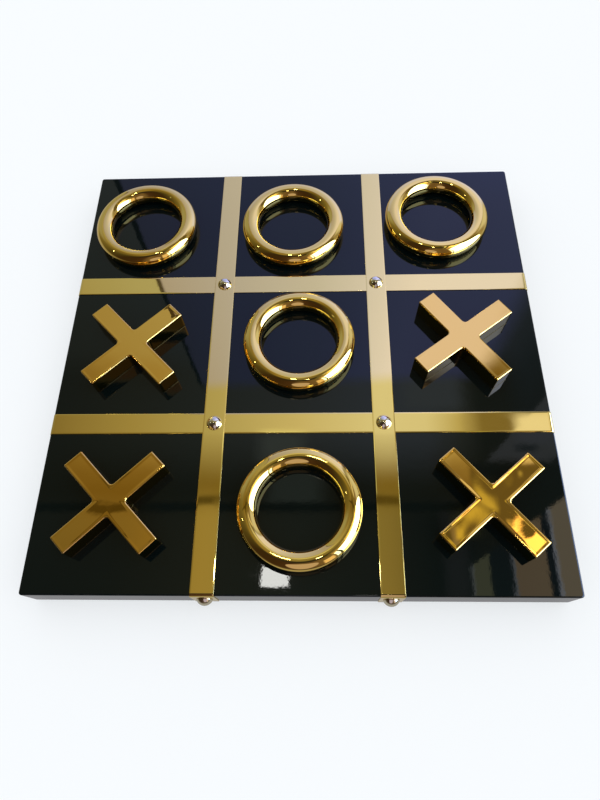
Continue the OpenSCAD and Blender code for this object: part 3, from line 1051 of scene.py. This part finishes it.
# Patches in slab millimetres: across, along, softness both ways, colour.
CEILING_PATCHES = [
    ("pale strip under the blue panel", (76, 116), (-50, -22), (8, 5), (0.86, 0.90, 0.88)),
    ("pale patch behind the front ring", (-27, 4), (-90, -68), (8, 5), (0.95, 1.02, 0.82)),
    ("its dimmer lower part", (-20, 16), (-119, -90), (8, 4), (0.48, 0.52, 0.38)),
    ("dark beam", (-300, 300), (-124, -118), (2, 2), (0.09, 0.07, 0.02)),
    ("dark side of the room", (114, 600), (-420, -91), (4, 4), (0.15, 0.13, 0.07)),
    ("lighter middle of the dark side", (117, 131), (-126, -103), (6, 6), (0.60, 0.56, 0.20)),
    ("its left end", (103, 118), (-140, -125), (6, 5), (0.66, 0.61, 0.20)),
    ("its back end", (143, 150), (-101, -97), (5, 3), (0.52, 0.50, 0.25)),
    ("warm lamp in it", (143, 155), (-144, -134), (3, 3), (1.02, 0.86, 0.44)),
    ("brighter part of the slanting board", (152, 180), (-76, -54), (4, 4), (0.88, 0.88, 0.96)),
    ("dark spot on the slanting board", (150, 164), (-82, -77), (4, 2), (0.30, 0.30, 0.30)),
]
# Patches in degrees: round, up, softness both ways, colour.
WALL_PATCHES = [
    ("grey wall at the left", (-62, -27), (-10, 40), (9, 9), (0.36, 0.39, 0.37)),
    ("pale wall at the right", (40, 68), (-10, 42), (7, 9), (0.70, 0.77, 1.05)),
    ("warm board at the front right", (137, 151), (-10, 38), (1.5, 3), (0.95, 0.76, 0.66)),
]
PLAIN_LIGHT = (0.76, 0.77, 0.78)
PAPER_WHITE = (0.939, 0.973, 1.0)
MIRROR_HEIGHT = (CAMERA_PLACE[2] - slab_top) / MM


def hang_studio():
    """The world: white to the camera, plain light to matt surfaces, and the studio to mirrors."""
    world = bpy.data.worlds.new("studio")
    bpy.context.scene.world = world
    world.use_nodes = True
    tree = world.node_tree
    axes = tree.nodes.new("ShaderNodeSeparateXYZ")
    feed(tree, axes.inputs[0], tree.nodes.new("ShaderNodeTexCoord").outputs["Generated"])
    x, y, z = axes.outputs
    round_by = calculate(tree, "DEGREES", calculate(tree, "ARCTAN2", x, y))
    up_by = calculate(tree, "DEGREES", calculate(tree, "ARCSINE", z))
    rise = calculate(tree, "MAXIMUM", z, 0.02)
    across, along = (
        calculate(tree, "MULTIPLY_ADD", calculate(tree, "DIVIDE", way, rise), MIRROR_HEIGHT, start / MM)
        for way, start in zip((x, y), CAMERA_PLACE))

    colour = colour_line(tree, round_by, WALLS)
    far = colour_line(tree, across, FAR_CEILING)
    far = blend_colours(tree, ease(tree, along, *FAR_DARKENS), FAR_SHADE, far)
    colour = blend_colours(tree, ease(tree, up_by, *CEILING_STARTS), colour, far)
    near = colour_line(tree, across, NEAR_CEILING)
    near = blend_colours(tree, ease(tree, along, *NEAR_DARKENS), NEAR_SHADE, near)
    colour = blend_colours(tree, panel_mask(tree, across, along, *NEAR_REACH), colour, near)
    slanting = calculate(tree, "SUBTRACT", across, along)
    on_board = panel_mask(tree, slanting, along, *SLANTING_REACH)
    colour = blend_colours(tree, on_board, colour, SLANTING_BOARD)
    for _, width, length, soft, light in CEILING_PATCHES:
        colour = blend_colours(tree, panel_mask(tree, across, along, width, length, soft), colour, light)
    for _, width, height, soft, light in WALL_PATCHES:
        colour = blend_colours(tree, panel_mask(tree, round_by, up_by, width, height, soft), colour, light)
    table = colour_line(tree, round_by, TABLE)
    table = blend_colours(tree, ease(tree, up_by, *TABLE_CHANGES), TABLE_BELOW, table)
    colour = blend_colours(tree, ease(tree, up_by, *HORIZON), table, colour)

    colour = blend_colours(tree, seen_by_mirrors(tree), PLAIN_LIGHT, colour)
    sees = tree.nodes.new("ShaderNodeLightPath").outputs["Is Camera Ray"]
    feed(tree, tree.nodes["Background"].inputs["Color"], blend_colours(tree, sees, colour, PAPER_WHITE))
    print("patches in the world:", ", ".join(patch[0] for patch in CEILING_PATCHES + WALL_PATCHES))


hang_studio()

# %% [markdown]
# # Panels close by
# Three upright screens stand so near that every ring mirrors them from another side, which is
# why the highlights differ from ring to ring. A bluish one stands just behind the board, gets
# brighter towards the right and has another tint near the table. A tall one stands at the right,
# very bright below and striped above. A dim oval one stands in front. They glow for mirrors alone
# and cast no shadow. They also stay dark for light that has already touched something matt, or
# else the polished metal would throw bright spots of them on the floor.

# %% Stand the panels
# Places on the screens are in millimetres over the slab's top. The bluish one, from left to right:
BLUE = [
    (-339, (0.07, 0.06, 0.05)), (-329, (0.07, 0.06, 0.05)), (-326, (0.43, 0.44, 0.76)),
    (-157, (0.49, 0.54, 1.08)), (9, (0.58, 0.65, 1.24)), (105, (0.70, 0.78, 1.60)),
    (197, (0.85, 0.92, 1.88)), (409, (0.84, 0.92, 1.90)),
]
BLUE_LOWER = [
    (-339, (0.42, 0.50, 1.15)), (9, (0.60, 0.70, 1.70)), (197, (0.78, 0.92, 2.40)),
    (409, (0.80, 0.96, 2.55)),
]
BLUE_CHANGES = (90, 300)
BLUE_TOP, BLUE_TOP_SLOPE = (935, 1030), 0.52
BLUE_RIGHT_END = (344, 405)
# The tall one, from the bottom up, and where its stripes begin.
TALL = [
    (-40, (0.10, 0.08, 0.06)), (14, (0.10, 0.08, 0.06)), (24, (4.6, 6.2, 10.6)), (820, (4.6, 6.2, 10.6)),
    (905, (2.4, 2.6, 3.2)), (943, (0.35, 0.28, 0.18)), (967, (2.9, 2.3, 1.45)), (1118, (2.9, 2.3, 1.45)),
    (1123, (3.4, 3.6, 4.0)), (1133, (3.2, 3.4, 3.8)), (1140, (0.10, 0.10, 0.12)), (1190, (0.12, 0.12, 0.14)),
    (1200, (2.5, 1.8, 1.0)), (1450, (2.4, 1.7, 0.95)), (1462, (1.9, 2.0, 2.1)), (1480, (1.3, 1.4, 1.5)),
    (1500, (0.12, 0.13, 0.12)), (1720, (0.12, 0.13, 0.12)), (1745, (1.2, 1.2, 0.65)),
    (1960, (1.2, 1.2, 0.65)), (1972, (1.7, 1.8, 1.7)), (1990, (1.4, 1.5, 1.4)), (2010, (0.12, 0.12, 0.10)),
]
TALL_STANDS_AT = 602
TALL_STRIPES = (880, 960)
# Its stripes get darker towards the front, and its back edge lies farther back in the upper part.
STRIPES_DIM = (-320, -120, 0.75, 0.0)
BACK_EDGE_MOVES = (800, 1000, 130.0, 172.0)
FRONT_END = (-735, -720)
# How bright its lower part is from front to back: two panes with a dark bar between them.
PANES = [(-760, 0.0), (-722, 0.0), (-716, 0.45), (-628, 0.5), (-622, 0.01), (-579, 0.01), (-572, 1.0),
         (200, 1.0)]
# The oval one: half its width and height, its middle across and up, and how far in front it stands.
OVAL = (125, 225, 16, 235, -450)
OVAL_LIGHT = (0.56, 0.48, 0.66)
SEEN_NOWHERE_ELSE = ("visible_camera", "visible_diffuse", "visible_transmission", "visible_volume_scatter",
                     "visible_shadow")


def stand_card(name, corners):
    """A flat card through its corners, in millimetres over the slab's top, seen by mirrors alone."""
    mesh = bpy.data.meshes.new(name)
    points = np.array(corners, float) * MM + [0, 0, slab_top]
    mesh.from_pydata(points.tolist(), [], [tuple(range(len(corners)))])
    card = bpy.data.objects.new(name, mesh)
    bpy.context.scene.collection.objects.link(card)
    for label in SEEN_NOWHERE_ELSE:
        setattr(card, label, False)
    material = bpy.data.materials.new(name)
    material.use_nodes = True
    tree = material.node_tree
    shader = tree.nodes["Principled BSDF"]
    shader.inputs["Base Color"].default_value = (0, 0, 0, 1)
    shader.inputs["Specular IOR Level"].default_value = 0.0
    bounces = tree.nodes.new("ShaderNodeLightPath").outputs["Diffuse Depth"]
    feed(tree, shader.inputs["Emission Strength"], calculate(tree, "LESS_THAN", bounces, 0.5))
    mesh.materials.append(material)
    return tree, shader


def place_on_card(tree):
    """The place on a card along each axis, in millimetres over the slab's top."""
    axes = tree.nodes.new("ShaderNodeSeparateXYZ")
    feed(tree, axes.inputs[0], tree.nodes.new("ShaderNodeTexCoord").outputs["Object"])
    x, y, z = (calculate(tree, "DIVIDE", axis, MM) for axis in axes.outputs)
    return x, y, calculate(tree, "SUBTRACT", z, slab_top / MM)


def stand_blue_panel():
    """Behind the board, from left to right and coming nearer, its top edge sloping down and soft."""
    tree, shader = stand_card("blue_panel", [(-339, 549, -30), (409, 381, -30), (409, 381, 1020),
                                             (-339, 549, 1250)])
    x, y, z = place_on_card(tree)
    feed(tree, shader.inputs["Emission Color"], blend_colours(
        tree, ease(tree, z, *BLUE_CHANGES), colour_line(tree, x, BLUE_LOWER), colour_line(tree, x, BLUE)))
    over = calculate(tree, "MULTIPLY_ADD", x, BLUE_TOP_SLOPE, z)
    fade_up = ease(tree, over, *BLUE_TOP, 1.0, 0.0)
    fade_right = ease(tree, x, *BLUE_RIGHT_END, 1.0, 0.0)
    feed(tree, shader.inputs["Alpha"], calculate(tree, "MULTIPLY", fade_up, fade_right))


def stand_tall_panel():
    """At the right, from behind the board's middle to far in front of it."""
    corners = [(TALL_STANDS_AT, y, z) for y, z in ((200, -30), (-760, -30), (-760, 2010), (200, 2010))]
    tree, shader = stand_card("tall_panel", corners)
    x, y, z = place_on_card(tree)
    upper = ease(tree, z, *TALL_STRIPES)
    dimmed = calculate(tree, "MULTIPLY", upper, ease(tree, y, *STRIPES_DIM))
    light = blend_colours(tree, dimmed, colour_line(tree, z, TALL), 0.0)
    panes = calculate(tree, "MAXIMUM", upper, colour_line(tree, y, PANES))
    feed(tree, shader.inputs["Emission Color"], blend_colours(tree, panes, 0.0, light))
    behind = calculate(tree, "SUBTRACT", y, ease(tree, z, *BACK_EDGE_MOVES))
    feed(tree, shader.inputs["Alpha"], calculate(
        tree, "MULTIPLY", ease(tree, behind, -5, 5, 1.0, 0.0), ease(tree, y, *FRONT_END)))


def stand_oval_screen():
    """In front: where (across / half width) squared + (up / half height) squared is under 1, softly."""
    half_w, half_h, middle_x, middle_z, place_y = OVAL
    corners = [(middle_x + half_w * sx, place_y, middle_z + half_h * sz)
               for sx, sz in ((-1, -1), (1, -1), (1, 1), (-1, 1))]
    tree, shader = stand_card("oval_screen", corners)
    x, y, z = place_on_card(tree)
    across = calculate(tree, "DIVIDE", calculate(tree, "SUBTRACT", x, middle_x), half_w)
    up = calculate(tree, "DIVIDE", calculate(tree, "SUBTRACT", z, middle_z), half_h)
    reach = calculate(tree, "ADD", calculate(tree, "POWER", across, 2.0), calculate(tree, "POWER", up, 2.0))
    shader.inputs["Emission Color"].default_value = opaque(OVAL_LIGHT)
    feed(tree, shader.inputs["Alpha"], ease(tree, reach, 0.82, 1.0, 1.0, 0.0))


stand_blue_panel()
stand_tall_panel()
stand_oval_screen()

# %% [markdown]
# # Lamps
# One very soft lamp, like a wide bright sky, gives matt things a gentle direction. Three small,
# very bright level cards hang high up and light nothing by themselves. Mirrored in the rings they
# make sparkles, and one of them shows as a white patch in the lacquer at the front.

# %% Place the lamps
SOFT_LAMP_STRENGTH = 0.80
SOFT_LAMP_WIDTH = math.radians(70)
SOFT_LAMP_TURN = (math.radians(18), math.radians(30), 0)
# The small cards: where, their middle and their size from side to side and from front to back.
SMALL_LAMPS = [("right", (165, -252, 1750), (80, 56)), ("left", (-149, 94, 1750), (98, 72)),
               ("far_left", (-1915, 22, 1500), (90, 90))]
SMALL_LAMP_LIGHT = (27.0, 27.0, 25.5)


def place_soft_lamp():
    """A sun with a very wide disc, from the right and a little from the front."""
    lamp = bpy.data.lights.new("soft_lamp", "SUN")
    lamp.energy = SOFT_LAMP_STRENGTH
    lamp.angle = SOFT_LAMP_WIDTH
    lamp_object = bpy.data.objects.new("soft_lamp", lamp)
    lamp_object.rotation_euler = SOFT_LAMP_TURN
    lamp_object.visible_glossy = False
    bpy.context.scene.collection.objects.link(lamp_object)


def hang_small_lamp(name, middle, size):
    """A level card about its middle, glowing downwards."""
    x, y, up = middle
    wide, deep = size
    corners = [(x + wide / 2 * sx, y + deep / 2 * sy, up) for sx, sy in ((-1, -1), (-1, 1), (1, 1), (1, -1))]
    tree, shader = stand_card("small_lamp_" + name, corners)
    shader.inputs["Emission Color"].default_value = opaque(SMALL_LAMP_LIGHT)


place_soft_lamp()
for name, middle, size in SMALL_LAMPS:
    hang_small_lamp(name, middle, size)
print("lamps: 1 soft and", len(SMALL_LAMPS), "small")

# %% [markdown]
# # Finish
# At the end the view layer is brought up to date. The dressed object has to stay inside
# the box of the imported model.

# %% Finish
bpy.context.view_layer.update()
